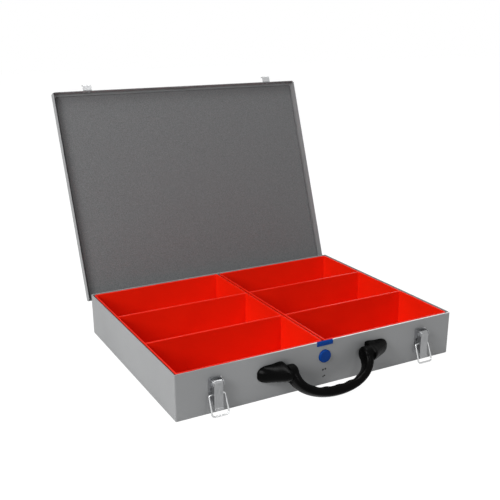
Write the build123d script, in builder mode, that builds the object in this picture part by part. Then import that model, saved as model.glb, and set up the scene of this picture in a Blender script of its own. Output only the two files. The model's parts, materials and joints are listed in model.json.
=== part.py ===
from build123d import *
import os
from math import acos, asin, cos, radians, sin, sqrt

# Sheet steel compartment organizer case with a hinged lid, two lift-out trays, two toggle latches,
# a push button catch and a swinging handle. Millimetres, X to the right, Y to the back, Z up.
# The origin is the middle of the underside. The lid stands open, against the stops of its hinges.
# A drop is measured down from the case's rim, a lift up from the edge of the lid's flange,
# and an out from the front wall's outer face forwards.

# Case body
case_width = 440.0
case_depth = 330.0
case_height = 65.0
sheet = 0.8
wall_corner = 1.6
bottom_bend = 1.3
hem = 0.8
hem_height = 2.4
rim_round = 0.6

# Lid
lid_sheet = 0.8
lid_flange = 13.0
lid_rise = 1.0
lid_side_gap = 0.7
lid_back_gap = 0.7
lid_front_gap = 1.2
lid_corner = 1.8
lid_bend = 1.2
lid_open_angle = 110.0
corner_notch = 2.4

# Foam liner of the lid
liner_thickness = 3.0
liner_inset = 3.5
liner_corner = 2.0

# Trays
tray_gap = 2.8
tray_parting = 3.0
tray_drop = 0.4
tray_floor_gap = 0.1
tray_wall = 1.2
tray_lip = 1.2
tray_lip_height = 1.4
tray_floor = 1.8
tray_draft = 1.0
tray_corner = 1.6
tray_rim_round = 1.0
tray_foot_round = 0.4
divider = 3.5

# Hinges, behind the back wall
hinge_inset = 70.0
hinge_width = 45.0
hinge_leaf = 1.2
hinge_leaf_corner = 3.0
hinge_pin_radius = 1.5
hinge_play = 0.05
hinge_drop = 3.4
hinge_base_leaf_height = 22.0
hinge_lid_leaf_height = 10.5
hinge_knuckles = 5
knuckle_gap = 0.3
knuckle_root = 1.0
stop_gap = 0.1
stop_reach = 5.0

# Rivets
rivet_shank = 1.6
rivet_head = 3.0
rivet_dome = 1.3
rivet_tail = 2.5
rivet_tail_depth = 0.6
flat_tail_depth = 0.4
rivet_play = 0.05
hinge_rivet_spacing = 26.0

# Latches, on the front wall
latch_inset = 55.0
latch_plate_width = 19.0
latch_plate = 1.0
latch_plate_drop = 14.0
latch_plate_height = 37.0
latch_plate_corner = 2.0
latch_rivet_drops = (28.5, 46.0)
ear_gap = 0.4
ear = 1.0
ear_round = 4.6
lever_pivot_out = 6.4
lever_pivot_drop = 20.6
lever_pin_radius = 1.5
lever_pin_head = 2.2
lever_pin_head_depth = 0.35
pin_play = 0.05
lever_half_width = 6.5
lever_sheet = 1.0
lever_flange = 0.9
lever_round = 4.8
lever_fold = 0.8
lever_back = 3.2
lever_rest_gap = 0.2
lever_lobe = 3.0
lever_lip_out = 14.4
lever_lip_round = 3.0
lever_lip_drop = 55.4
lever_bend_drop = 50.6
bail_pivot_out = 5.0
bail_pivot_drop = 36.5
bail_wire = 1.2
bail_half_width = 11.1
bail_spread = 0.8
bail_corner = 3.4
bail_end_bend = 1.8
bail_end = 4.6
bail_seat_play = 0.2
bail_tilt = 24.0
bail_table_gap = 2.0

# Keepers, on the lid's front flange
keeper_width = 14.0
keeper_sheet = 1.0
keeper_lift = 0.6
keeper_height = 10.8
keeper_reach = 10.0
keeper_tip = 6.0
keeper_bend = 1.0
keeper_rivet_spacing = 8.0
keeper_rivet_lift = 7.6
keeper_rivet_shank = 1.2
keeper_rivet_head = 2.2
keeper_rivet_dome = 0.9

# Push button catch, in the middle of the front wall
nose_width = 25.0
nose_height = 6.4
nose_proud = 1.0
nose_slope = 2.2
nose_slope_back = 0.6
nose_behind = 1.4
nose_round = 0.3
nose_play = 0.3
button_radius = 9.3
button_drop = 22.2
button_proud = 3.0
button_round = 2.0
button_play = 0.35
catch_travel = 1.2
slide_gap = 0.1
slide_sheet = 0.8
slide_width = 29.0
slide_drop = 3.0
slide_height = 34.0
slide_corner = 2.0
guide_room = 0.5
guide_sheet = 0.5
guide_lift = 1.0
guide_height = 15.0
guide_inner = 30.0
guide_foot = 7.0
spring_sheet = 0.35
spring_width = 12.0
spring_seat = 0.06
spring_margin = 1.0
strike_width = 42.0
strike_sheet = 0.6
strike_lift = 0.8
strike_height = 4.2
strike_corner = 0.8

# Three shallow marks under the button: two dots and a dash, down from the button's middle
mark_radius = 1.4
mark_depth = 0.3
mark_spots = ((-2.0, -20.3), (1.9, -19.8))
dash_spot = (-0.2, -30.1)
dash_length = 4.6
dash_width = 2.2
dash_turn = 25.0

# Handle, on the front wall
cap_inner = 66.3
cap_outer = 104.5
cap_low = 25.0
cap_high = 49.4
cap_depth = 26.5
grip_pivot_out = 13.3
grip_pivot_height = 37.0
grip_tilt = 37.5
grip_outer_gap = 0.6
grip_outer_drop = 43.8
grip_outer_curve = 2.1
grip_end_height = 12.4
grip_inner_drop = 29.4
grip_inner_curve = 2.5
grip_end_width = 22.8
grip_middle_width = 14.4
grip_narrowing = 1.5
grip_edge = 0.4
grip_gap = 0.3
hub_length = 13.0
hub_radius = 11.8
grip_pin_radius = 2.0
grip_pin_in_cap = 10.0
grip_pin_in_grip = 11.0
cap_screw_radius = 1.85
cap_screw_spots = (8.0, 28.0)
cap_screw_length = 7.0
cap_screw_room = 0.3
cap_screw_head = 3.4
cap_screw_head_depth = 2.0
washer_radius = 4.4
washer = 0.6

# Places worked out from the sizes above
front_face = -case_depth / 2
back_face = case_depth / 2
lid_top = case_height + lid_rise
lid_bottom = lid_top - lid_flange
lid_half_width = case_width / 2 + lid_side_gap + lid_sheet
lid_front = front_face - lid_front_gap - lid_sheet
lid_back = back_face + lid_back_gap + lid_sheet
flange_out = lid_front_gap + lid_sheet
knuckle_radius = hinge_pin_radius + hinge_play + hinge_leaf
hinge_back = lid_back_gap + lid_sheet + knuckle_radius
hinge_y = back_face + hinge_back
hinge_z = lid_bottom - hinge_drop
tray_top = case_height - tray_drop
tray_width = (case_width - tray_parting) / 2 - sheet - tray_gap
tray_depth = case_depth - 2 * sheet - 2 * tray_gap
tray_base = sheet + tray_floor_gap
divider_pitch = case_depth / 3
button_height = case_height - button_drop
sides = (("left", -1), ("right", 1))

opening = Pos(0, hinge_y, hinge_z) * Rot(-lid_open_angle, 0, 0) * Pos(0, -hinge_y, -hinge_z)


def front_plane(out=0.0):
    """The front wall's outer face, or a plane parallel to it, facing forwards."""
    return Plane(origin=(0, front_face - out, 0), x_dir=(1, 0, 0), z_dir=(0, -1, 0))


def back_plane(out=0.0):
    """The back wall's outer face, or a plane parallel to it, facing backwards."""
    return Plane(origin=(0, back_face + out, 0), x_dir=(-1, 0, 0), z_dir=(0, 1, 0))


def front_profile(x):
    """An upright plane across the front wall: its X is the distance out and its Y the height."""
    return Plane(origin=(x, front_face, 0), x_dir=(0, -1, 0), z_dir=(-1, 0, 0))


def back_profile(x):
    """An upright plane across the back wall: its X is the distance behind it and its Y the height."""
    return Plane(origin=(x, back_face, 0), x_dir=(0, 1, 0), z_dir=(1, 0, 0))


def on_lid(plane):
    """A plane of the closed lid, carried round the hinges to the open lid."""
    return Plane(opening * plane.location)


def spot_plane(face, at):
    """A plane on a face plane, moved to a point of it."""
    return Plane(origin=face.from_local_coords((at[0], at[1], 0)), x_dir=face.x_dir, z_dir=face.z_dir)


def make_rivet(spot, held, shank, head, dome, tail, tail_depth):
    """A rivet on a plane: domed head on it, shank through what it holds, flat tail behind."""
    dome_radius = (head**2 + dome**2) / (2 * dome)
    half_turn = asin(head / dome_radius) / 2
    dome_middle = (dome_radius * sin(half_turn), dome - dome_radius * (1 - cos(half_turn)))
    with BuildPart() as rivet:
        with BuildSketch(Plane(origin=spot.origin, x_dir=spot.x_dir, z_dir=-spot.y_dir)):
            with BuildLine():
                ThreePointArc((0, dome), dome_middle, (head, 0))
                Polyline((head, 0), (shank, 0), (shank, -held), (tail, -held))
                Polyline((tail, -held), (tail, -held - tail_depth), (0, -held - tail_depth), (0, dome))
            make_face()
        revolve(axis=Axis(spot.origin, spot.z_dir))
    return rivet.part


def finish(piece, label):
    """Labels a finished piece and writes its STEP file."""
    piece.part.label = label
    export_step(piece.part, f"parts/{label}.step")


os.makedirs("parts", exist_ok=True)

# Hole places shared by the walls, the leaves, the plates and their fasteners
hinge_places = [side * (case_width / 2 - hinge_inset) for name, side in sides]
latch_places = [side * (case_width / 2 - latch_inset) for name, side in sides]
base_rivet_height = hinge_z - knuckle_radius - hinge_base_leaf_height / 2
hinge_base_spots = [
    (-x + shift * hinge_rivet_spacing / 2, base_rivet_height) for x in hinge_places for shift in (-1, 1)
]
lid_rivet_height = lid_bottom + 2 * hinge_lid_leaf_height / 3
hinge_lid_spots = [
    (-x + shift * hinge_rivet_spacing / 2, lid_rivet_height) for x in hinge_places for shift in (-1, 1)
]
latch_spots = [(x, case_height - drop) for x in latch_places for drop in latch_rivet_drops]
keeper_rivet_height = lid_bottom + keeper_rivet_lift
keeper_spots = [
    (x + shift * keeper_rivet_spacing / 2, keeper_rivet_height) for x in latch_places for shift in (-1, 1)
]
cap_screws = [
    (side * (cap_inner + along), grip_pivot_height) for name, side in sides for along in cap_screw_spots
]

# Base case: a folded sheet tray, pierced for its rivets, screws, catch and button
with BuildPart() as base_case:
    with BuildSketch():
        RectangleRounded(case_width, case_depth, wall_corner)
    extrude(amount=case_height)
    fillet(base_case.faces().sort_by(Axis.Z)[0].edges(), bottom_bend)
    offset(amount=-sheet, openings=base_case.faces().sort_by(Axis.Z)[-1])
    with BuildSketch(Plane.XY.offset(case_height)):
        Rectangle(case_width - 2 * sheet, case_depth - 2 * sheet)
        Rectangle(case_width - 2 * sheet - 2 * hem, case_depth - 2 * sheet - 2 * hem, mode=Mode.SUBTRACT)
    extrude(amount=-hem_height)
    fillet(base_case.faces().sort_by(Axis.Z)[-1].edges(), rim_round)
    with BuildSketch(front_plane()):
        with Locations((0, case_height)):
            Rectangle(nose_width + 2 * nose_play, 2 * (nose_height + nose_play))
        with Locations((0, button_height)):
            Circle(button_radius + button_play)
        with Locations(*latch_spots):
            Circle(rivet_shank + rivet_play)
        with Locations(*cap_screws):
            Circle(cap_screw_radius + rivet_play)
    extrude(amount=-2 * sheet, mode=Mode.SUBTRACT)
    with BuildSketch(front_plane()):
        with Locations(*[(x, button_height + fall) for x, fall in mark_spots]):
            Circle(mark_radius)
        with Locations((dash_spot[0], button_height + dash_spot[1])):
            SlotOverall(dash_length, dash_width, rotation=dash_turn)
    extrude(amount=-mark_depth, mode=Mode.SUBTRACT)
    with BuildSketch(back_plane()):
        with Locations(*hinge_base_spots):
            Circle(rivet_shank + rivet_play)
    extrude(amount=-2 * sheet, mode=Mode.SUBTRACT)
finish(base_case, "base_case")

# Lid shell: a panel with a folded flange all round, notched at the corners
with BuildPart() as lid_shell:
    with BuildSketch(on_lid(Plane.XY.offset(lid_bottom))):
        with Locations((0, (lid_front + lid_back) / 2)):
            RectangleRounded(2 * lid_half_width, lid_back - lid_front, lid_corner)
    extrude(amount=lid_flange)
    panel_face = lid_shell.faces().sort_by(Axis(on_lid(Plane.XY).origin, on_lid(Plane.XY).z_dir))[-1]
    open_face = lid_shell.faces().sort_by(Axis(on_lid(Plane.XY).origin, on_lid(Plane.XY).z_dir))[0]
    fillet(panel_face.edges(), lid_bend)
    offset(amount=-lid_sheet, openings=open_face)
    with BuildSketch(on_lid(Plane.XY.offset(lid_bottom))):
        for x in (-lid_half_width, lid_half_width):
            for y in (lid_front, lid_back):
                with Locations((x, y)):
                    Rectangle(corner_notch * 2, corner_notch * 2)
    extrude(amount=corner_notch, mode=Mode.SUBTRACT)
    with BuildSketch(on_lid(front_plane(flange_out))):
        with Locations(*keeper_spots):
            Circle(keeper_rivet_shank + rivet_play)
    extrude(amount=-2 * lid_sheet, mode=Mode.SUBTRACT)
    with BuildSketch(on_lid(back_plane(lid_back_gap + lid_sheet))):
        with Locations(*hinge_lid_spots):
            Circle(rivet_shank + rivet_play)
    extrude(amount=-2 * lid_sheet, mode=Mode.SUBTRACT)
finish(lid_shell, "lid_shell")

# Foam liner: a plain pad, glued inside the panel
liner_front = lid_front + lid_sheet + liner_inset
liner_back = lid_back - lid_sheet - liner_inset
liner_width = 2 * (lid_half_width - lid_sheet - liner_inset)
with BuildPart() as foam_liner:
    with BuildSketch(on_lid(Plane.XY.offset(lid_top - lid_sheet))):
        with Locations((0, (liner_front + liner_back) / 2)):
            RectangleRounded(liner_width, liner_back - liner_front, liner_corner)
    extrude(amount=-liner_thickness)
finish(foam_liner, "foam_liner")

# Trays: thin moulded inserts with a narrow lip round the rim, drafted walls and two dividers each
tray_rim = tray_wall + tray_lip
tray_lip_base = tray_top - tray_lip_height
cavity_width = tray_width - 2 * tray_rim
cavity_depth = tray_depth - 2 * tray_rim
divider_ends = [-cavity_depth / 2]
for place in (-divider_pitch / 2, divider_pitch / 2):
    divider_ends += [place - divider / 2, place + divider / 2]
divider_ends.append(cavity_depth / 2)
compartments = [(divider_ends[k], divider_ends[k + 1]) for k in range(0, len(divider_ends), 2)]
cavity_floor = tray_base + tray_floor

for name, side in sides:
    middle = side * (tray_parting + tray_width) / 2
    with BuildPart() as tray:
        with BuildSketch(Plane.XY.offset(tray_top)):
            with Locations((middle, 0)):
                RectangleRounded(tray_width, tray_depth, tray_corner + tray_rim)
        extrude(amount=-tray_lip_height)
        with BuildSketch(Plane.XY.offset(tray_lip_base)):
            with Locations((middle, 0)):
                RectangleRounded(cavity_width + 2 * tray_wall, cavity_depth + 2 * tray_wall,
                                 tray_corner + tray_wall)
        extrude(amount=tray_base - tray_lip_base, taper=tray_draft)
        for low, high in compartments:
            with BuildSketch(Plane.XY.offset(tray_top)):
                with Locations((middle, (low + high) / 2)):
                    RectangleRounded(cavity_width, high - low, tray_corner)
            extrude(amount=cavity_floor - tray_top, taper=tray_draft, mode=Mode.SUBTRACT)
        fillet(tray.edges().group_by(Axis.Z)[-1], tray_rim_round)
        near = tray_floor / 9
        floor_faces = tray.faces().filter_by_position(Axis.Z, cavity_floor - near, cavity_floor + near)
        fillet(floor_faces.edges(), tray_foot_round)
    finish(tray, f"{name}_tray")

# Hinges: base leaf, lid leaf and pin, with alternating knuckles
knuckle_pitch = hinge_width / hinge_knuckles


def knuckle_span(k):
    """The middle and the length of a knuckle along the hinge, from the hinge's middle."""
    return (k - (hinge_knuckles - 1) / 2) * knuckle_pitch, knuckle_pitch - knuckle_gap


hinge_spot = (hinge_back, hinge_z)
leaf_top = hinge_z - knuckle_radius
root_height = leaf_top - knuckle_root
lid_leaf_face = lid_back_gap + lid_sheet
lid_root_height = lid_bottom + knuckle_root
stop_across = hinge_back - hinge_leaf - stop_gap
stop_tip = (hinge_back - stop_across, hinge_z - sqrt(stop_reach**2 - stop_across**2))

for (name, side), place in zip(sides, hinge_places):
    with BuildPart() as base_leaf:
        with BuildSketch(back_plane()):
            with Locations((-place, leaf_top - hinge_base_leaf_height / 2)):
                Rectangle(hinge_width, hinge_base_leaf_height)
        extrude(amount=hinge_leaf)
        fillet(base_leaf.edges().filter_by(Axis.Y).group_by(Axis.Z)[0], hinge_leaf_corner)
        for k in range(0, hinge_knuckles, 2):
            middle, length = knuckle_span(k)
            with BuildSketch(back_profile(place + middle)):
                with Locations(hinge_spot):
                    Circle(knuckle_radius)
                with BuildLine():
                    Polyline((0, root_height), (0, leaf_top), (hinge_back - knuckle_radius, hinge_z),
                             (hinge_back - hinge_pin_radius, hinge_z - hinge_pin_radius),
                             (hinge_leaf, root_height), (0, root_height))
                make_face()
            extrude(amount=length / 2, both=True)
        with BuildSketch(back_profile(place)):
            with Locations(hinge_spot):
                Circle(hinge_pin_radius + hinge_play / 2)
        extrude(amount=hinge_width / 2, both=True, mode=Mode.SUBTRACT)
        with BuildSketch(back_plane()):
            with Locations(*[s for s in hinge_base_spots if s[0] * place < 0]):
                Circle(rivet_shank + rivet_play)
        extrude(amount=2 * hinge_leaf, mode=Mode.SUBTRACT)
    finish(base_leaf, f"{name}_hinge_base_leaf")

    with BuildPart() as lid_leaf:
        with BuildSketch(on_lid(back_plane(lid_leaf_face))):
            with Locations((-place, lid_bottom + hinge_lid_leaf_height / 2)):
                Rectangle(hinge_width, hinge_lid_leaf_height)
        extrude(amount=hinge_leaf)
        for k in range(1, hinge_knuckles, 2):
            middle, length = knuckle_span(k)
            with BuildSketch(on_lid(back_profile(place + middle))):
                with Locations(hinge_spot):
                    Circle(knuckle_radius)
                with Locations((lid_leaf_face + hinge_leaf / 2, (hinge_z + lid_root_height) / 2)):
                    Rectangle(hinge_leaf, lid_root_height - hinge_z)
            extrude(amount=length / 2, both=True)
            with BuildSketch(back_profile(place + middle)):
                with BuildLine():
                    Polyline(hinge_spot, (hinge_back, hinge_z - knuckle_radius), stop_tip,
                             (hinge_back - knuckle_radius, hinge_z), hinge_spot)
                make_face()
            extrude(amount=length / 2, both=True)
        with BuildSketch(back_profile(place)):
            with Locations(hinge_spot):
                Circle(hinge_pin_radius + hinge_play)
        extrude(amount=hinge_width / 2, both=True, mode=Mode.SUBTRACT)
        with BuildSketch(on_lid(back_plane(lid_leaf_face))):
            with Locations(*[s for s in hinge_lid_spots if s[0] * place < 0]):
                Circle(rivet_shank + rivet_play)
        extrude(amount=2 * hinge_leaf, mode=Mode.SUBTRACT)
    finish(lid_leaf, f"{name}_hinge_lid_leaf")

    with BuildPart() as hinge_pin:
        with BuildSketch(back_profile(place)):
            with Locations(hinge_spot):
                Circle(hinge_pin_radius)
        extrude(amount=hinge_width / 2, both=True)
    finish(hinge_pin, f"{name}_hinge_pin")

hinge_base_rivet_bodies = [
    make_rivet(spot_plane(back_plane(hinge_leaf), spot), hinge_leaf + sheet,
               rivet_shank, rivet_head, rivet_dome, rivet_tail, rivet_tail_depth)
    for spot in hinge_base_spots
]
with BuildPart() as hinge_base_rivets:
    add(hinge_base_rivet_bodies)
finish(hinge_base_rivets, "hinge_base_rivets")

hinge_lid_rivet_bodies = [
    make_rivet(spot_plane(on_lid(back_plane(lid_leaf_face + hinge_leaf)), spot), hinge_leaf + lid_sheet,
               rivet_shank, rivet_head, rivet_dome, rivet_tail, flat_tail_depth)
    for spot in hinge_lid_spots
]
with BuildPart() as hinge_lid_rivets:
    add(hinge_lid_rivet_bodies)
finish(hinge_lid_rivets, "hinge_lid_rivets")

# Toggle latches: riveted plate with two ears, channel lever on a cross pin, wire bail
pivot_height = case_height - lever_pivot_drop
pivot_spot = (lever_pivot_out, pivot_height)
bail_height = case_height - bail_pivot_drop
bail_spot = (bail_pivot_out, bail_height)
lip_height = case_height - lever_lip_drop
bend_height = case_height - lever_bend_drop
plate_middle_height = case_height - latch_plate_drop - latch_plate_height / 2
ear_inner = lever_half_width + ear_gap
ear_outer = ear_inner + ear
ear_middle = ear_inner + ear / 2
web_out = lever_pivot_out + lever_round
web_middle = web_out - lever_sheet / 2
web_radius = lever_round - lever_sheet / 2
flange_edge = web_out - lever_fold
lever_stop = latch_plate + lever_rest_gap
keeper_bottom = lid_bottom + keeper_lift
hook_floor = keeper_bottom + keeper_sheet / 2
hook_in = flange_out + keeper_sheet / 2
hook_out = flange_out + keeper_reach - keeper_sheet / 2
# The latched bail reaches straight up into the keeper's hook. The hanging one leans out, clear of the table.
bail_length = keeper_bottom + keeper_sheet + bail_wire + bail_seat_play - bail_height
bail_room = bail_height - bail_wire - bail_table_gap
bail_lean = max(radians(bail_tilt), acos(min(1.0, bail_room / bail_length)))
bail_down = Vector(0, -sin(bail_lean), -cos(bail_lean))

for (name, side), place in zip(sides, latch_places):
    with BuildPart() as latch_plate_body:
        with BuildSketch(front_plane()):
            with Locations((place, plate_middle_height)):
                RectangleRounded(latch_plate_width, latch_plate_height, latch_plate_corner)
        extrude(amount=latch_plate)
        for x in (-ear_middle, ear_middle):
            with BuildSketch(front_profile(place + x)):
                with Locations(pivot_spot):
                    Circle(ear_round)
                with BuildLine():
                    Polyline((latch_plate / 2, pivot_height + ear_round),
                             (lever_pivot_out, pivot_height + ear_round),
                             (lever_pivot_out, pivot_height - ear_round),
                             (latch_plate / 2, pivot_height - 2 * ear_round),
                             (latch_plate / 2, pivot_height + ear_round))
                make_face()
            extrude(amount=ear / 2, both=True)
        with BuildSketch(front_profile(place)):
            with Locations(pivot_spot):
                Circle(lever_pin_radius + pin_play / 2)
        extrude(amount=latch_plate_width / 2, both=True, mode=Mode.SUBTRACT)
        with BuildSketch(front_plane()):
            with Locations(*[s for s in latch_spots if s[0] * place > 0]):
                Circle(rivet_shank + rivet_play)
        extrude(amount=2 * latch_plate, mode=Mode.SUBTRACT)
    finish(latch_plate_body, f"{name}_latch_plate")

    with BuildPart() as lever_pin:
        with BuildSketch(front_profile(place)):
            with Locations(pivot_spot):
                Circle(lever_pin_radius)
        extrude(amount=ear_outer, both=True)
        for x in (-ear_outer - lever_pin_head_depth / 2, ear_outer + lever_pin_head_depth / 2):
            with BuildSketch(front_profile(place + x)):
                with Locations(pivot_spot):
                    Circle(lever_pin_head)
            extrude(amount=lever_pin_head_depth / 2, both=True)
    finish(lever_pin, f"{name}_lever_pin")

    with BuildPart() as lever:
        with BuildSketch(front_profile(place)):
            with BuildLine():
                CenterArc(pivot_spot, web_radius, 0, 90)
                Line((web_middle, pivot_height), (web_middle, bend_height))
                TangentArc((web_middle, bend_height), (lever_lip_out - lever_sheet / 2, lip_height),
                           tangent=(0, -1))
            trace(line_width=lever_sheet)
        extrude(amount=lever_half_width, both=True)
        lip_ends = lever.edges().filter_by(lambda e: e.length < 1.5 * lever_sheet).sort_by(Axis.Z)[:2]
        fillet(lip_ends, lever_lip_round)
        fillet(lever.edges().filter_by(Axis.Z).group_by(Axis.Y)[0], lever_fold)
        for x in (-lever_half_width + lever_flange / 2, lever_half_width - lever_flange / 2):
            with BuildSketch(front_profile(place + x)):
                with Locations(pivot_spot):
                    Circle(lever_round - lever_fold)
                with BuildLine():
                    Polyline((lever_back, pivot_height), (flange_edge, pivot_height),
                             (flange_edge, bend_height), (lever_stop, bail_height - lever_lobe),
                             (lever_stop, bail_height + lever_lobe),
                             (lever_back, bail_height + 2 * lever_lobe), (lever_back, pivot_height))
                make_face()
            extrude(amount=lever_flange / 2, both=True)
        with BuildSketch(front_profile(place)):
            with Locations(pivot_spot):
                Circle(lever_pin_radius + pin_play)
            with Locations(bail_spot):
                Circle(bail_wire + pin_play)
        extrude(amount=lever_half_width, both=True, mode=Mode.SUBTRACT)
    finish(lever, f"{name}_latch_lever")

    bail_origin = front_profile(place).from_local_coords((bail_pivot_out, bail_height, 0))
    bail_plane = Plane(origin=bail_origin, x_dir=(1, 0, 0), z_dir=Vector(1, 0, 0).cross(-bail_down))
    bail_foot = bail_half_width + bail_spread
    with BuildPart() as bail:
        with BuildLine(bail_plane) as bail_path:
            FilletPolyline((-bail_end, 0), (-bail_half_width, 0), (-bail_foot, -bail_length),
                           (bail_foot, -bail_length), (bail_half_width, 0), (bail_end, 0),
                           radius=[bail_end_bend, bail_corner, bail_corner, bail_end_bend])
        with BuildSketch(Plane(origin=bail_path.line @ 0, z_dir=bail_path.line % 0)):
            Circle(bail_wire)
        sweep(path=bail_path.line)
    finish(bail, f"{name}_latch_bail")

    with BuildPart() as keeper:
        with BuildSketch(on_lid(front_profile(place))):
            with BuildLine():
                FilletPolyline((hook_in, keeper_bottom + keeper_height), (hook_in, hook_floor),
                               (hook_out, hook_floor), (hook_out, keeper_bottom + keeper_tip),
                               radius=keeper_bend)
            trace(line_width=keeper_sheet)
        extrude(amount=keeper_width / 2, both=True)
        with BuildSketch(on_lid(front_plane(flange_out))):
            with Locations(*[s for s in keeper_spots if s[0] * place > 0]):
                Circle(keeper_rivet_shank + rivet_play)
        extrude(amount=2 * keeper_sheet, mode=Mode.SUBTRACT)
    finish(keeper, f"{name}_keeper")

latch_rivet_bodies = [
    make_rivet(spot_plane(front_plane(latch_plate), spot), latch_plate + sheet,
               rivet_shank, rivet_head, rivet_dome, rivet_tail, rivet_tail_depth)
    for spot in latch_spots
]
with BuildPart() as latch_rivets:
    add(latch_rivet_bodies)
finish(latch_rivets, "latch_rivets")

keeper_rivet_bodies = [
    make_rivet(spot_plane(on_lid(front_plane(flange_out + keeper_sheet)), spot), keeper_sheet + lid_sheet,
               keeper_rivet_shank, keeper_rivet_head, keeper_rivet_dome, keeper_rivet_head, flat_tail_depth)
    for spot in keeper_spots
]
with BuildPart() as keeper_rivets:
    add(keeper_rivet_bodies)
finish(keeper_rivets, "keeper_rivets")

# Push button catch: nose and button on a slide behind the front wall, with a guide and a bow spring
slide_front = -sheet - slide_gap
slide_back = slide_front - slide_sheet
slide_top = case_height - slide_drop
slide_bottom = slide_top - slide_height
with BuildPart() as catch_slide:
    with BuildSketch(front_plane(slide_front)):
        with Locations((0, (slide_top + slide_bottom) / 2)):
            RectangleRounded(slide_width, slide_height, slide_corner)
    extrude(amount=-slide_sheet)
finish(catch_slide, "catch_slide")

# The nose's top slopes down forwards, so that the lid's strike rides over it
nose_bottom = case_height - nose_height
with BuildPart() as catch_nose:
    with BuildSketch(front_profile(0)):
        with BuildLine():
            Polyline((slide_front, nose_bottom), (nose_proud, nose_bottom),
                     (nose_proud, case_height - nose_slope), (-nose_slope_back, case_height),
                     (-nose_behind, case_height), (-nose_behind, slide_top),
                     (slide_front, slide_top), (slide_front, nose_bottom))
        make_face()
    extrude(amount=nose_width / 2, both=True)
    fillet(catch_nose.edges().filter_by(Axis.Z).group_by(Axis.Y)[0], nose_round)
finish(catch_nose, "catch_nose")

with BuildPart() as release_button:
    with BuildSketch(front_plane(slide_front)):
        with Locations((0, button_height)):
            Circle(button_radius)
    extrude(amount=button_proud - slide_front)
    button_rim = release_button.edges().filter_by(GeomType.CIRCLE).sort_by(Axis.Y)[0]
    fillet(button_rim, button_round)
finish(release_button, "release_button")

guide_bottom = slide_bottom + guide_lift
guide_gap = catch_travel + guide_room
guide_inside = slide_back - guide_gap
with BuildPart() as catch_guide:
    guide_side = guide_inner / 2
    guide_points = [(guide_side + guide_foot, -sheet), (guide_side, -sheet), (guide_side, guide_inside)]
    with BuildSketch(Plane.XY.offset(guide_bottom)):
        with BuildLine():
            Polyline(*[(x, front_face - out) for x, out in guide_points],
                     *[(-x, front_face - out) for x, out in reversed(guide_points)])
            offset(amount=guide_sheet, side=Side.RIGHT)
        make_face()
    extrude(amount=guide_height)
finish(catch_guide, "catch_guide")

spring_middle = guide_bottom + guide_height / 2
spring_reach = guide_height / 2 - spring_margin
spring_rise = guide_gap - spring_sheet - 2 * spring_seat
spring_ends = slide_back - spring_seat - spring_sheet / 2
with BuildPart() as catch_spring:
    with BuildSketch(front_profile(0)):
        with BuildLine():
            ThreePointArc((spring_ends, spring_middle - spring_reach),
                          (spring_ends - spring_rise, spring_middle),
                          (spring_ends, spring_middle + spring_reach))
        trace(line_width=spring_sheet)
    extrude(amount=spring_width / 2, both=True)
finish(catch_spring, "catch_spring")

with BuildPart() as lid_strike:
    with BuildSketch(on_lid(front_plane(lid_front_gap))):
        with Locations((0, lid_bottom + strike_lift + strike_height / 2)):
            RectangleRounded(strike_width, strike_height, strike_corner)
    extrude(amount=-strike_sheet)
finish(lid_strike, "lid_strike")

# Handle: two caps screwed on from inside, a swinging grip and its two pins
# Each station of a cap: share of its length from the inner end, depth, lowest and highest point
cap_stations = (
    (0.0, 1.0, 0.0, 0.0),
    (0.36, 0.735, 0.0, 0.0),
    (0.67, 0.47, 0.025, 0.017),
    (0.86, 0.283, 0.104, 0.092),
    (0.96, 0.143, 0.233, 0.225),
    (1.0, 0.06, 0.354, 0.342),
)
cap_rise = cap_high - cap_low
cap_length = cap_outer - cap_inner
grip_outer_half = cap_inner - grip_outer_gap
grip_inner_half = grip_outer_half - grip_end_height
grip_half = cap_inner - grip_gap - hub_length / 2
grip_down = Vector(0, -sin(radians(grip_tilt)), -cos(radians(grip_tilt)))
grip_front = Vector(0, -cos(radians(grip_tilt)), sin(radians(grip_tilt)))
grip_centre = Vector(0, front_face - grip_pivot_out, grip_pivot_height)


def cap_section(depth, low, high):
    """A cap's outline on the wall: a sloping top, a crease, and a front that rounds under to the wall."""
    middle = (low + high) / 2
    crease = (depth * 0.95, (middle + high) / 2)
    with BuildLine() as outline:
        Bezier((0, high), (depth / 2, high), crease)
        Bezier(crease, (depth * 1.15, middle), (depth * 0.95, low), (0, low))
        Line((0, low), (0, high))
    return outline.line


for name, side in sides:
    with BuildPart() as cap:
        for share, depth, low, high in cap_stations:
            with BuildSketch(front_profile(side * (cap_inner + share * cap_length))):
                add(cap_section(cap_depth * depth, cap_low + cap_rise * low, cap_high - cap_rise * high))
                make_face()
        loft()
        with BuildSketch(front_profile(side * cap_inner)):
            with Locations((grip_pivot_out, grip_pivot_height)):
                Circle(grip_pin_radius + pin_play / 2)
        extrude(amount=-side * grip_pin_in_cap, mode=Mode.SUBTRACT)
        with BuildSketch(front_plane()):
            with Locations(*[s for s in cap_screws if s[0] * side > 0]):
                Circle(cap_screw_radius + rivet_play)
        extrude(amount=cap_screw_length + cap_screw_room, mode=Mode.SUBTRACT)
    finish(cap, f"{name}_handle_cap")

# The grip lies between two rounded outlines in its own tilted plane, from hub to hub
grip_steps = 12


def outline_point(k, half, drop, curve):
    """A point of one of the grip's outlines, half a superellipse: across and down the grip."""
    turn = radians(180 * k / grip_steps)
    across = -cos(turn)
    across = (1 if across > 0 else -1) * abs(across) ** (2 / curve)
    down = abs(sin(turn)) ** (2 / curve) if 0 < k < grip_steps else 0.0
    return half * across, drop * down


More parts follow.
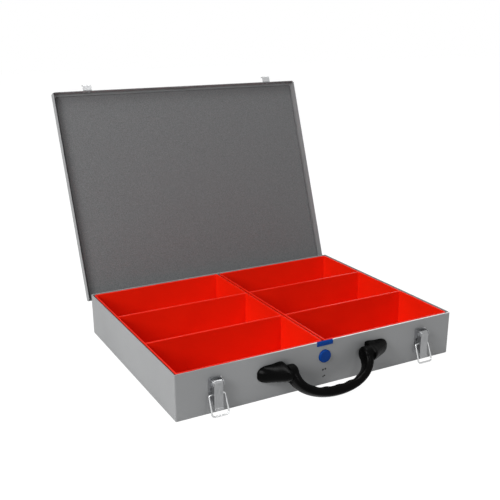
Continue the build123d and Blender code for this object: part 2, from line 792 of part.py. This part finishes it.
with BuildPart() as handle_grip:
    for k in range(grip_steps + 1):
        outer = outline_point(k, grip_outer_half, grip_outer_drop, grip_outer_curve)
        inner = outline_point(k, grip_inner_half, grip_inner_drop, grip_inner_curve)
        outwards = Vector(outer[0] - inner[0], 0, 0) + grip_down * (outer[1] - inner[1])
        height = outwards.length
        share = (outer[1] / grip_outer_drop) ** grip_narrowing
        width = grip_end_width + (grip_middle_width - grip_end_width) * share
        across, down = (outer[0] + inner[0]) / 2, (outer[1] + inner[1]) / 2
        place = grip_centre + Vector(across, 0, 0) + grip_down * down
        with BuildSketch(Plane(origin=place, x_dir=grip_front, z_dir=outwards.cross(grip_front))):
            RectangleRounded(width, height, min(width, height) * grip_edge)
    loft()
    for side in (-1, 1):
        hub_middle = grip_centre + Vector(side * grip_half, 0, 0)
        hub_end = grip_centre + Vector(side * (grip_half + hub_length / 2), 0, 0)
        with BuildSketch(Plane(origin=hub_middle, x_dir=grip_front, z_dir=(1, 0, 0))):
            Circle(hub_radius)
        extrude(amount=hub_length / 2, both=True)
        with BuildSketch(Plane(origin=hub_end, z_dir=(side, 0, 0))):
            Circle(grip_pin_radius + pin_play)
        extrude(amount=-grip_pin_in_grip - pin_play, mode=Mode.SUBTRACT)
finish(handle_grip, "handle_grip")

with BuildPart() as grip_pins:
    for side in (-1, 1):
        start = grip_half + hub_length / 2 - grip_pin_in_grip
        with BuildSketch(Plane(origin=grip_centre + Vector(side * start, 0, 0), z_dir=(side, 0, 0))):
            Circle(grip_pin_radius)
        extrude(amount=grip_pin_in_grip + grip_gap + grip_pin_in_cap - pin_play)
finish(grip_pins, "grip_pins")

with BuildPart() as cap_screw_set:
    with BuildSketch(front_plane(-sheet - washer)):
        with Locations(*cap_screws):
            Circle(cap_screw_radius)
    extrude(amount=cap_screw_length + sheet + washer)
    with BuildSketch(front_plane(-sheet - washer)):
        with Locations(*cap_screws):
            Circle(cap_screw_head)
    extrude(amount=-cap_screw_head_depth)
finish(cap_screw_set, "handle_screws")

with BuildPart() as screw_washers:
    with BuildSketch(front_plane(-sheet)):
        with Locations(*cap_screws):
            Circle(washer_radius)
        with Locations(*cap_screws):
            Circle(cap_screw_radius + rivet_play, mode=Mode.SUBTRACT)
    extrude(amount=-washer)
finish(screw_washers, "handle_washers")
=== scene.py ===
"""Sheet steel organizer case: powder coated case and lid, two red compartment trays, foam lined lid."""

import json
from math import asin, copysign, cos, pi, radians, sin

import bpy
from mathutils import Matrix, Vector


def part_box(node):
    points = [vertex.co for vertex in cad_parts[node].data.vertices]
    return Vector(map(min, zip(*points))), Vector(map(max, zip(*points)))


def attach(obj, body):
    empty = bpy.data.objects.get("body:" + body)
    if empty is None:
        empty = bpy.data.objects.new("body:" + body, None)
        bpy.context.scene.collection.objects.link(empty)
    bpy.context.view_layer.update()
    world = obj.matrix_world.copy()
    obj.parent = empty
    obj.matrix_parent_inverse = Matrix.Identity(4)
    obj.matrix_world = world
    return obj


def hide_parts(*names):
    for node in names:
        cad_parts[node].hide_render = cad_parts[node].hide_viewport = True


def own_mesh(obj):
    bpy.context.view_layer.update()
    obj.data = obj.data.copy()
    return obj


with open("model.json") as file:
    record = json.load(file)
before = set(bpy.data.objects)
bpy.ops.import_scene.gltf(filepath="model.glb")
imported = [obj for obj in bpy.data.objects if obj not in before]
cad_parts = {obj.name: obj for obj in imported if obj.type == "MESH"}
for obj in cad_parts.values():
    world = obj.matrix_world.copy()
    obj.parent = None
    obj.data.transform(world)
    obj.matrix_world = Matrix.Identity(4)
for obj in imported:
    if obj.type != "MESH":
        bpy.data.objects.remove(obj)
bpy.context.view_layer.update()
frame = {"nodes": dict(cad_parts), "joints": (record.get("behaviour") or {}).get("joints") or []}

MM = 0.001
# Sockets of a Mix node that mixes colours
MIX_FIRST, MIX_SECOND, MIX_RESULT = 6, 7, 2
JOINTS = {joint["name"]: joint for joint in frame["joints"]}


# Colours
def linear(hex_colour):
    """An sRGB hex colour as linear red, green, blue and alpha."""
    parts = [int(hex_colour[k : k + 2], 16) / 255 for k in (1, 3, 5)]
    return [c / 12.92 if c <= 0.04045 else ((c + 0.055) / 1.055) ** 2.4 for c in parts] + [1.0]


# Materials
def add_node(tree, kind, links=(), **settings):
    """Adds a node. A setting is an attribute or an input's value, and a link is (input, output socket)."""
    node = tree.nodes.new(kind)
    for name, value in settings.items():
        if hasattr(node, name):
            setattr(node, name, value)
        else:
            node.inputs[name.replace("_", " ")].default_value = value
    for name, source in links:
        tree.links.new(source, node.inputs[name])
    return node


def start_material(name, **surface):
    """A material with one Principled shader. Returns it with its tree, shader and place coordinates."""
    material = bpy.data.materials.new(name)
    material.use_nodes = True
    tree = material.node_tree
    shader = tree.nodes["Principled BSDF"]
    for socket, value in surface.items():
        shader.inputs[socket.replace("_", " ")].default_value = value
    place = add_node(tree, "ShaderNodeTexCoord").outputs["Object"]
    return material, tree, shader, place


def two_tones(tree, pattern, low, high, dark, light):
    """A colour that runs from dark to light as the pattern goes from low to high."""
    ramp = add_node(tree, "ShaderNodeValToRGB", [("Fac", pattern)])
    ends = ramp.color_ramp.elements
    ends[0].position, ends[0].color = low, linear(dark)
    ends[1].position, ends[1].color = high, linear(light)
    return ramp.outputs["Color"]


def roughen(tree, shader, place, grain_mm, height_mm, strength):
    """Bump from noise whose lumps are grain_mm across and height_mm high."""
    noise = add_node(tree, "ShaderNodeTexNoise", [("Vector", place)], Scale=1 / (grain_mm * MM), Detail=3.0)
    bump = add_node(
        tree, "ShaderNodeBump", [("Height", noise.outputs["Fac"])], Strength=strength, Distance=height_mm * MM
    )
    tree.links.new(bump.outputs["Normal"], shader.inputs["Normal"])


# Black painted shade for the hollows of the sunk marks, and a pale painted highlight for the front rim
HOLE_SHADE, RIM_HIGHLIGHT_COLOUR = "#0b0b0c", "#eceded"
# Height over which the painted highlight on the front rim fades in
RIM_HIGHLIGHT_FADE = 0.4 * MM


def powder_coated_steel(name, dark, light, roughness, shaded_holes=(), rim_highlight=None):
    """Grey powder coat on sheet steel: satin, with an orange peel skin and very slight cloudiness.

    A sunk mark is painted black inside as painted shade in its hollow: each of these spots is its place and
    its radius. The front rim gets a pale painted highlight: its entry gives the height above which it lies,
    the place along Y in front of which, and the stretch along X over which that comes in.
    """
    material, tree, shader, place = start_material(name, Roughness=roughness, IOR=1.5)
    clouds = add_node(tree, "ShaderNodeTexNoise", [("Vector", place)], Scale=1 / (90 * MM), Detail=2.0)
    colour = two_tones(tree, clouds.outputs["Fac"], 0.3, 0.7, dark, light)
    # Paints each sunk mark black inside: painted shade in its hollow
    for spot, radius in shaded_holes:
        reach = add_node(tree, "ShaderNodeVectorMath", [(0, place)], operation="DISTANCE")
        reach.inputs[1].default_value = spot
        inside = add_node(tree, "ShaderNodeMath", [(0, reach.outputs["Value"])], operation="LESS_THAN")
        inside.inputs[1].default_value = radius
        hole_shade = add_node(tree, "ShaderNodeMix", [(0, inside.outputs[0]), (MIX_FIRST, colour)], data_type="RGBA")
        hole_shade.inputs[MIX_SECOND].default_value = linear(HOLE_SHADE)
        colour = hole_shade.outputs[MIX_RESULT]
    # A pale painted highlight along the front rim, coming in gradually along X
    if rim_highlight:
        above, front, (low_x, high_x) = rim_highlight
        axes = add_node(tree, "ShaderNodeSeparateXYZ", [("Vector", place)]).outputs
        high = add_node(tree, "ShaderNodeMapRange", [("Value", axes["Z"])])
        high.inputs["From Min"].default_value = above
        high.inputs["From Max"].default_value = above + RIM_HIGHLIGHT_FADE
        along = add_node(tree, "ShaderNodeMapRange", [("Value", axes["X"])])
        along.inputs["From Min"].default_value = low_x
        along.inputs["From Max"].default_value = high_x
        in_front = add_node(tree, "ShaderNodeMath", [(0, axes["Y"])], operation="LESS_THAN")
        in_front.inputs[1].default_value = front
        highlight_zone = add_node(
            tree, "ShaderNodeMath", [(0, high.outputs["Result"]), (1, in_front.outputs[0])],
            operation="MULTIPLY",
        )
        share = add_node(
            tree, "ShaderNodeMath", [(0, highlight_zone.outputs[0]), (1, along.outputs["Result"])], operation="MULTIPLY"
        )
        pale = add_node(tree, "ShaderNodeMix", [(0, share.outputs[0]), (MIX_FIRST, colour)], data_type="RGBA")
        pale.inputs[MIX_SECOND].default_value = linear(RIM_HIGHLIGHT_COLOUR)
        colour = pale.outputs[MIX_RESULT]
    tree.links.new(colour, shader.inputs["Base Color"])
    roughen(tree, shader, place, grain_mm=1.6, height_mm=0.02, strength=0.25)
    return material


def moulded_polystyrene(name, dark, light, roughness, gloss):
    """Injection moulded polystyrene: even colour and a smooth skin with faint flow marks."""
    material, tree, shader, place = start_material(
        name, Roughness=roughness, IOR=1.52, Specular_IOR_Level=gloss
    )
    flow = add_node(tree, "ShaderNodeTexNoise", [("Vector", place)], Scale=1 / (45 * MM), Detail=1.5)
    tree.links.new(two_tones(tree, flow.outputs["Fac"], 0.3, 0.7, dark, light), shader.inputs["Base Color"])
    roughen(tree, shader, place, grain_mm=3.0, height_mm=0.02, strength=0.12)
    return material


def zinc_plated_steel(name, dark, light, roughness):
    """Bright zinc plate on pressed steel: a cool metal, a little milky, with fine rubbed streaks."""
    material, tree, shader, place = start_material(name, Metallic=1.0, Roughness=roughness)
    streaks = add_node(tree, "ShaderNodeMapping", [("Vector", place)], Scale=(1.0, 1.0, 0.12))
    rub = add_node(
        tree, "ShaderNodeTexNoise", [("Vector", streaks.outputs["Vector"])], Scale=1 / (1.2 * MM), Detail=3.0
    )
    tree.links.new(two_tones(tree, rub.outputs["Fac"], 0.35, 0.65, dark, light), shader.inputs["Base Color"])
    roughen(tree, shader, place, grain_mm=1.5, height_mm=0.01, strength=0.2)
    return material


def grained_nylon(name, dark, light, roughness):
    """Black glass filled nylon: fine spark grain from the mould, soft sheen on its crowns."""
    material, tree, shader, place = start_material(
        name, Roughness=roughness, IOR=1.53, Specular_IOR_Level=0.035
    )
    clouds = add_node(tree, "ShaderNodeTexNoise", [("Vector", place)], Scale=1 / (12 * MM), Detail=2.0)
    tree.links.new(two_tones(tree, clouds.outputs["Fac"], 0.3, 0.7, dark, light), shader.inputs["Base Color"])
    roughen(tree, shader, place, grain_mm=0.9, height_mm=0.03, strength=0.3)
    return material


def open_cell_foam(name, dark, light):
    """Grey polyurethane foam: dull, with open cells, drawn about a millimetre across so that they show."""
    material, tree, shader, place = start_material(name, Roughness=1.0, IOR=1.4, Specular_IOR_Level=0.1)
    cells = add_node(
        tree, "ShaderNodeTexNoise", [("Vector", place)], Scale=1 / (1.1 * MM), Detail=3.0, Roughness=0.6
    )
    colour = two_tones(tree, cells.outputs["Fac"], 0.36, 0.64, dark, light)
    tree.links.new(colour, shader.inputs["Base Color"])
    bump = add_node(
        tree, "ShaderNodeBump", [("Height", cells.outputs["Fac"])], Strength=0.5, Distance=0.15 * MM
    )
    tree.links.new(bump.outputs["Normal"], shader.inputs["Normal"])
    return material


# The two dots and the dash sunk in the front wall, painted black inside as painted shade, the dash as two
# spots side by side
FRONT_FACE = -165.0 * MM
MARKS = [
    (Vector((x * MM, FRONT_FACE, z * MM)), radius * MM)
    for x, z, radius in ((-2.0, 22.5, 1.5), (1.9, 23.0, 1.5), (-1.25, 12.2, 1.25), (0.85, 13.2, 1.25))
]

# The stretch of the front rim with a pale painted highlight: above this height, in front of this place, and
# along X
RIM_HIGHLIGHT_STRETCH = (64.1 * MM, -162.0 * MM, (-160.0 * MM, 10.0 * MM))

CASE_PAINT = powder_coated_steel("case_powder_coat", "#878889", "#8c8d8e", 0.5, MARKS, RIM_HIGHLIGHT_STRETCH)
LID_PAINT = powder_coated_steel("lid_powder_coat", "#878889", "#8c8d8e", 0.5)
RED_PLASTIC = moulded_polystyrene("red_polystyrene", "#de1d06", "#e42007", 0.36, 0.18)
BLUE_PLASTIC = moulded_polystyrene("blue_polystyrene", "#04337a", "#063b86", 0.2, 0.06)
BLACK_NYLON = grained_nylon("black_nylon", "#020202", "#050505", 0.27)
ZINC = zinc_plated_steel("bright_zinc", "#b9bbbd", "#d4d5d6", 0.28)
LATCH_STEEL = zinc_plated_steel("dull_latch_zinc", "#939496", "#a3a4a6", 0.42)
KEEPER_STEEL = zinc_plated_steel("satin_keeper_zinc", "#a9aaab", "#b7b8b9", 0.4)
LEVER_STEEL = zinc_plated_steel("satin_lever_zinc", "#88898a", "#959697", 0.32)
WIRE = zinc_plated_steel("bright_wire", "#b9babb", "#cacbcb", 0.3)
SPRING_STEEL = zinc_plated_steel("spring_steel", "#6b6c6e", "#828385", 0.35)
FOAM = open_cell_foam("grey_foam", "#5b5c5d", "#727374")

FINISHES = {
    "base_case": CASE_PAINT,
    "lid_shell": LID_PAINT,
    "lid_strike": LID_PAINT,
    "left_tray": RED_PLASTIC,
    "right_tray": RED_PLASTIC,
    "release_button": BLUE_PLASTIC,
    "catch_nose": BLUE_PLASTIC,
    "left_handle_cap": BLACK_NYLON,
    "right_handle_cap": BLACK_NYLON,
    "handle_grip": BLACK_NYLON,
    "left_latch_bail": WIRE,
    "right_latch_bail": WIRE,
    "left_latch_lever": LEVER_STEEL,
    "right_latch_lever": LEVER_STEEL,
    "left_keeper": KEEPER_STEEL,
    "right_keeper": KEEPER_STEEL,
    "left_latch_plate": LATCH_STEEL,
    "right_latch_plate": LATCH_STEEL,
    "catch_spring": SPRING_STEEL,
}


def paint(obj, material):
    """Gives an object this one material."""
    obj.data.materials.clear()
    obj.data.materials.append(material)


for node_name, node_object in frame["nodes"].items():
    paint(node_object, FINISHES.get(node_name, ZINC))


# Modelling helpers
def select_alone(obj):
    """Makes this object the active one, and the only one selected."""
    bpy.ops.object.select_all(action="DESELECT")
    bpy.context.view_layer.objects.active = obj
    obj.select_set(True)


def start_edit(obj):
    """Selects this object alone and goes into edit mode."""
    select_alone(obj)
    bpy.ops.object.mode_set(mode="EDIT")


def end_edit():
    """Leaves edit mode."""
    bpy.ops.object.mode_set(mode="OBJECT")


def edit_edges(obj, wanted):
    """Goes into edit mode with only the edges selected whose two ends are as wanted says."""
    start_edit(obj)
    bpy.ops.mesh.select_all(action="DESELECT")
    end_edit()
    for edge in obj.data.edges:
        edge.select = wanted(*[obj.data.vertices[k].co for k in edge.vertices])
    start_edit(obj)


def add_modifier(obj, kind, **settings):
    """Adds a modifier and applies it."""
    select_alone(obj)
    modifier = obj.modifiers.new(kind.lower(), kind)
    for name, value in settings.items():
        setattr(modifier, name, value)
    bpy.ops.object.modifier_apply(modifier=modifier.name)


def settle(obj):
    """Puts the object's place into its mesh, so that the object itself sits at the origin."""
    select_alone(obj)
    bpy.ops.object.transform_apply(location=True, rotation=True, scale=True)


def lid_opening():
    """The turn that carries the closed lid to the open one, about the hinge."""
    swing = JOINTS["lid_swing"]
    hinge = Matrix.Translation(Vector(swing["pos_m"]))
    turn = Matrix.Rotation(-radians(swing["range_deg"][1]), 4, "X")
    return hinge @ turn @ hinge.inverted()


# Foam pad, glued into the lid. Its front edge stays clear of the catch's nose, pressed back or not.
PAD_NOSE_ROOM = 0.8 * MM
PAD_CORNER_ROUND = 2.0 * MM
PAD_EDGE_ROUND = 0.8 * MM


def make_foam_pad():
    """A flat foam pad with softly rounded edges, made in the closed lid and turned open with it."""
    opening = lid_opening()
    corners = [opening.inverted() @ Vector(p) for p in foam_corners()]
    low = Vector([min(c[k] for c in corners) for k in range(3)])
    high = Vector([max(c[k] for c in corners) for k in range(3)])
    low.y += PAD_NOSE_ROOM
    bpy.ops.mesh.primitive_cube_add(size=1, location=(low + high) / 2, scale=high - low)
    pad = bpy.context.object
    pad.name = "foam_pad"
    settle(pad)
    edit_edges(pad, lambda a, b: abs(a.z - b.z) > 1 * MM)
    bpy.ops.mesh.bevel(offset=PAD_CORNER_ROUND, segments=4)
    bpy.ops.mesh.select_all(action="SELECT")
    bpy.ops.mesh.remove_doubles(threshold=0.01 * MM)
    end_edit()
    add_modifier(
        pad, "BEVEL", width=PAD_EDGE_ROUND, segments=2, limit_method="ANGLE", angle_limit=radians(50)
    )
    pad.data.transform(opening)
    paint(pad, FOAM)
    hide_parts("foam_liner")
    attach(pad, "lid")
    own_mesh(pad)


def foam_corners():
    """The corners of the foam liner's solid."""
    mesh = frame["nodes"]["foam_liner"]
    return [mesh.matrix_world @ v.co for v in mesh.data.vertices]


make_foam_pad()

# Carrying grip, drawn upright in the plane of its pivots and then tilted as it hangs
GRIP_TILT = radians(37.5)
GRIP_STATIONS = 48
# Half width, drop and superellipse power of its two outlines
GRIP_OUTER = (65.7 * MM, 43.8 * MM, 2.1)
GRIP_INNER = (53.3 * MM, 29.4 * MM, 2.5)
# Width at the hubs and at the bottom, and the power by which it narrows between them
GRIP_WIDTHS = (22.8 * MM, 14.4 * MM)
GRIP_NARROWING = 1.5
GRIP_EDGE = 4.8 * MM
FINGERS, FINGER_PITCH, FINGER_DEPTH = 4, 19.0 * MM, 1.3 * MM
HUB_RADIUS, HUB_LENGTH, HUB_INNER_ROUND = 11.8 * MM, 13.0 * MM, 4.5 * MM
HUB_OVERLAP = 0.05 * MM
BORE_RADIUS, BORE_DEPTH = 2.05 * MM, 11.05 * MM
ROD_SIDES = 72


def grip_outline(turn, half, drop, curve):
    """A point of one of the grip's outlines, half a superellipse: across and down from the pivots' middle."""
    across = copysign(abs(cos(turn)) ** (2 / curve), -cos(turn))
    return Vector((half * across, 0, -drop * abs(sin(turn)) ** (2 / curve)))


def finger_wave(across):
    """How deep the fingers' wave is at this place across the grip: none outside the four fingers."""
    if abs(across) > FINGERS * FINGER_PITCH / 2:
        return 0.0
    phase = across / FINGER_PITCH + FINGERS / 2
    return FINGER_DEPTH * sin(pi * phase) ** 2


def grip_ring(turn):
    """One cross section of the grip, as a flat rectangle between its two outlines."""
    outer, inner = grip_outline(turn, *GRIP_OUTER), grip_outline(turn, *GRIP_INNER)
    outwards = outer - inner
    inner += outwards.normalized() * finger_wave(inner.x)
    share = (-outer.z / GRIP_OUTER[1]) ** GRIP_NARROWING
    width = GRIP_WIDTHS[0] + (GRIP_WIDTHS[1] - GRIP_WIDTHS[0]) * share
    bpy.ops.mesh.primitive_plane_add(size=1)
    ring = bpy.context.object
    side, up = Vector((0, -1, 0)), outwards.normalized()
    axes = Matrix((side * width, up * (outer - inner).length, side.cross(up))).transposed()
    ring.matrix_world = Matrix.Translation((outer + inner) / 2) @ axes.to_4x4()
    return ring


def make_rod(name, radius, length, middle, inner_round=0.0):
    """A round rod along X, whose end towards the grip's middle is rounded where inner_round isn't zero."""
    bpy.ops.mesh.primitive_cylinder_add(
        vertices=ROD_SIDES, radius=radius, depth=length, location=middle, rotation=(0, pi / 2, 0)
    )
    rod = bpy.context.object
    rod.name = name
    settle(rod)
    if inner_round:
        inner_end = min((v.co.x for v in rod.data.vertices), key=abs)
        edit_edges(rod, lambda a, b: max(abs(a.x - inner_end), abs(b.x - inner_end)) < 0.01 * MM)
        bpy.ops.mesh.bevel(offset=inner_round, segments=8)
        end_edit()
    return rod


def merge_into(obj, tool, operation):
    """Joins a tool to the object, or cuts it out, and deletes it."""
    add_modifier(obj, "BOOLEAN", object=tool, operation=operation, solver="MANIFOLD")
    bpy.data.objects.remove(tool)


def make_grip():
    """The moulded grip: one curve from hub to hub, broad at its ends, with finger waves on its inside."""
    rings = [grip_ring(pi * k / GRIP_STATIONS) for k in range(GRIP_STATIONS + 1)]
    bpy.ops.object.select_all(action="DESELECT")
    for ring in rings:
        ring.select_set(True)
    grip = rings[0]
    bpy.context.view_layer.objects.active = grip
    bpy.ops.object.join()
    grip.name = "carrying_grip"
    settle(grip)
    start_edit(grip)
    bpy.ops.mesh.select_all(action="SELECT")
    bpy.ops.mesh.delete(type="ONLY_FACE")
    bpy.ops.mesh.select_all(action="SELECT")
    bpy.ops.mesh.bridge_edge_loops()
    bpy.ops.mesh.select_all(action="SELECT")
    bpy.ops.mesh.fill_holes(sides=4)
    bpy.ops.mesh.select_all(action="SELECT")
    bpy.ops.mesh.normals_make_consistent(inside=False)
    end_edit()
    # The long edges, whose pieces run from ring to ring
    edit_edges(grip, lambda a, b: abs(a.y - b.y) < 1.5 * MM and (a - b).length < 9 * MM)
    bpy.ops.mesh.bevel(offset=GRIP_EDGE, segments=4)
    end_edit()
    hub_middle = GRIP_INNER[0] + HUB_LENGTH / 2 - HUB_OVERLAP
    bore_middle = hub_middle + HUB_LENGTH / 2 - BORE_DEPTH / 2
    for side in (-1, 1):
        hub = make_rod("hub", HUB_RADIUS, HUB_LENGTH, (side * hub_middle, 0, 0), HUB_INNER_ROUND)
        merge_into(grip, hub, "UNION")
        bore = make_rod("bore", BORE_RADIUS, BORE_DEPTH, (side * bore_middle, 0, 0))
        merge_into(grip, bore, "DIFFERENCE")
    pivot = Vector(JOINTS["grip_swing"]["pos_m"])
    grip.data.transform(Matrix.Translation(pivot) @ Matrix.Rotation(-GRIP_TILT, 4, "X"))
    bpy.ops.object.select_all(action="DESELECT")
    grip.select_set(True)
    bpy.ops.object.shade_smooth_by_angle(angle=radians(35))
    paint(grip, BLACK_NYLON)
    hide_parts("handle_grip")
    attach(grip, "grip")


make_grip()

# Bow spring of the catch, between the slide and its guide
SPRING_SHEET = 0.35 * MM
SPRING_STEPS = 20


def make_bow_spring():
    """A thin strip bent to an arc, bowed back against the guide, that flattens as the button is pressed."""
    low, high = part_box("catch_spring")
    reach, rise = (high.z - low.z) / 2, high.y - low.y - SPRING_SHEET
    bend_radius = (reach**2 + rise**2) / (2 * rise)
    half_turn = asin(reach / bend_radius)
    top = Vector((0, high.y - SPRING_SHEET / 2, (low.z + high.z) / 2))
    centre = top - Vector((0, bend_radius, 0))
    bpy.ops.object.select_all(action="DESELECT")
    bpy.ops.mesh.primitive_plane_add(size=1, location=top)
    spring = bpy.context.object
    spring.name = "bow_spring"
    spring.scale = (high.x - low.x, SPRING_SHEET, 1)
    settle(spring)
    to_end = Matrix.Translation(centre) @ Matrix.Rotation(-half_turn, 4, "X") @ Matrix.Translation(-centre)
    spring.data.transform(to_end)
    start_edit(spring)
    bpy.ops.mesh.select_all(action="SELECT")
    bpy.ops.mesh.spin(steps=SPRING_STEPS, angle=-2 * half_turn, center=centre, axis=(1, 0, 0))
    bpy.ops.mesh.select_all(action="SELECT")
    bpy.ops.mesh.remove_doubles(threshold=0.001 * MM)
    bpy.ops.mesh.normals_make_consistent(inside=False)
    end_edit()
    paint(spring, SPRING_STEEL)
    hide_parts("catch_spring")
    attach(spring, "case")
    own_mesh(spring)


make_bow_spring()


# Camera, at the photograph's place: its turns, the floor point that it looks at and how far off it stands
AZIMUTH, ELEVATION, ROLL = radians(-28.337), radians(19.455), radians(-0.213)
CAMERA_TARGET, CAMERA_DISTANCE = Vector((0.102234, 0.236593, 0.0)), 1.44056
# Its lens in pixels of a 500 pixel frame, and how far the view's centre lies below the frame's
FOCAL_PIXELS, FRAME_PIXELS, CENTRE_BELOW = 773.43, 500, 37
SENSOR_WIDTH = 36


def place_camera():
    """A camera with a long lens to the left of the case, a little above it."""
    back = Vector((sin(AZIMUTH) * cos(ELEVATION), -cos(AZIMUTH) * cos(ELEVATION), sin(ELEVATION)))
    right = Vector((cos(AZIMUTH), sin(AZIMUTH), 0))
    up = back.cross(right)
    right, up = right * cos(ROLL) + up * sin(ROLL), up * cos(ROLL) - right * sin(ROLL)
    data = bpy.data.cameras.new("camera")
    data.sensor_width = SENSOR_WIDTH
    data.lens = FOCAL_PIXELS * SENSOR_WIDTH / FRAME_PIXELS
    data.shift_y = CENTRE_BELOW / FRAME_PIXELS
    camera = bpy.data.objects.new("camera", data)
    bpy.context.scene.collection.objects.link(camera)
    turn = Matrix((right, up, back)).transposed().to_4x4()
    camera.matrix_world = Matrix.Translation(CAMERA_TARGET + back * CAMERA_DISTANCE) @ turn
    bpy.context.scene.camera = camera


# Light: even light all round, and soft boxes by name, each with its place, its size in metres and its watts
AMBIENT = 0.22
LAMP_AIM = Vector((0, 0, 0.05))
LAMPS = {
    "key": ((-1.7, -0.62, 1.1), 0.9, 34),
    "front_right": ((0.25, -2.2, 1.5), 0.4, 8.2),
    "top": ((0.3, 0.1, 2.2), 0.8, 19),
}
# The floor lies just under the case. Where it is background, this share of it is plain white of this
# strength, and the rest is shaded as a matt floor and keeps the shadow.
FLOOR_SIZE, FLOOR_DROP = 12, 0.2 * MM
FLOOR_WHITE_SHARE, FLOOR_WHITE_STRENGTH = 0.86, 1.14


def add_lamp(name, place, size, watts):
    """A square soft box at place, aimed at the case."""
    data = bpy.data.lights.new(name, "AREA")
    data.size, data.energy = size, watts
    lamp = bpy.data.objects.new(name, data)
    bpy.context.scene.collection.objects.link(lamp)
    direction = LAMP_AIM - Vector(place)
    lamp.matrix_world = Matrix.Translation(place) @ direction.to_track_quat("-Z", "Y").to_matrix().to_4x4()


def background_rays(tree):
    """One for the rays that show the background, which the camera, gloss or glass sends, and else zero."""
    rays = add_node(tree, "ShaderNodeLightPath").outputs
    shown = rays["Is Camera Ray"]
    for kind in ("Is Transmission Ray", "Is Glossy Ray"):
        either = add_node(tree, "ShaderNodeMath", [(0, shown), (1, rays[kind])], operation="MAXIMUM")
        shown = either.outputs[0]
    return shown


def set_world():
    """Even light all round, and plain white where the camera, gloss or glass sees past the object."""
    world = bpy.data.worlds.new("studio")
    bpy.context.scene.world = world
    world.use_nodes = True
    tree = world.node_tree
    tree.nodes.clear()
    light = add_node(tree, "ShaderNodeBackground", Color=(1, 1, 1, 1), Strength=AMBIENT)
    white = add_node(tree, "ShaderNodeBackground", Color=(1, 1, 1, 1), Strength=1.0)
    both = add_node(
        tree, "ShaderNodeMixShader",
        [(0, background_rays(tree)), (1, light.outputs[0]), (2, white.outputs[0])],
    )
    add_node(tree, "ShaderNodeOutputWorld", [("Surface", both.outputs[0])])


def make_floor():
    """A pale floor that takes a faint soft shadow."""
    bpy.ops.mesh.primitive_plane_add(size=FLOOR_SIZE, location=(0, 0, -FLOOR_DROP))
    floor = bpy.context.object
    floor.name = "floor"
    material = bpy.data.materials.new("white_floor")
    material.use_nodes = True
    tree = material.node_tree
    tree.nodes.clear()
    share = add_node(tree, "ShaderNodeMath", [(0, background_rays(tree))], operation="MULTIPLY")
    share.inputs[1].default_value = FLOOR_WHITE_SHARE
    matt = add_node(tree, "ShaderNodeBsdfDiffuse", Color=linear("#e6e6e6"))
    white = add_node(tree, "ShaderNodeEmission", Color=(1, 1, 1, 1), Strength=FLOOR_WHITE_STRENGTH)
    both = add_node(
        tree, "ShaderNodeMixShader", [(0, share.outputs[0]), (1, matt.outputs[0]), (2, white.outputs[0])]
    )
    add_node(tree, "ShaderNodeOutputMaterial", [("Surface", both.outputs[0])])
    paint(floor, material)


place_camera()
set_world()
for lamp_name, (lamp_place, lamp_size, lamp_watts) in LAMPS.items():
    add_lamp(lamp_name, lamp_place, lamp_size, lamp_watts)
make_floor()
bpy.context.scene.view_settings.view_transform = "Standard"
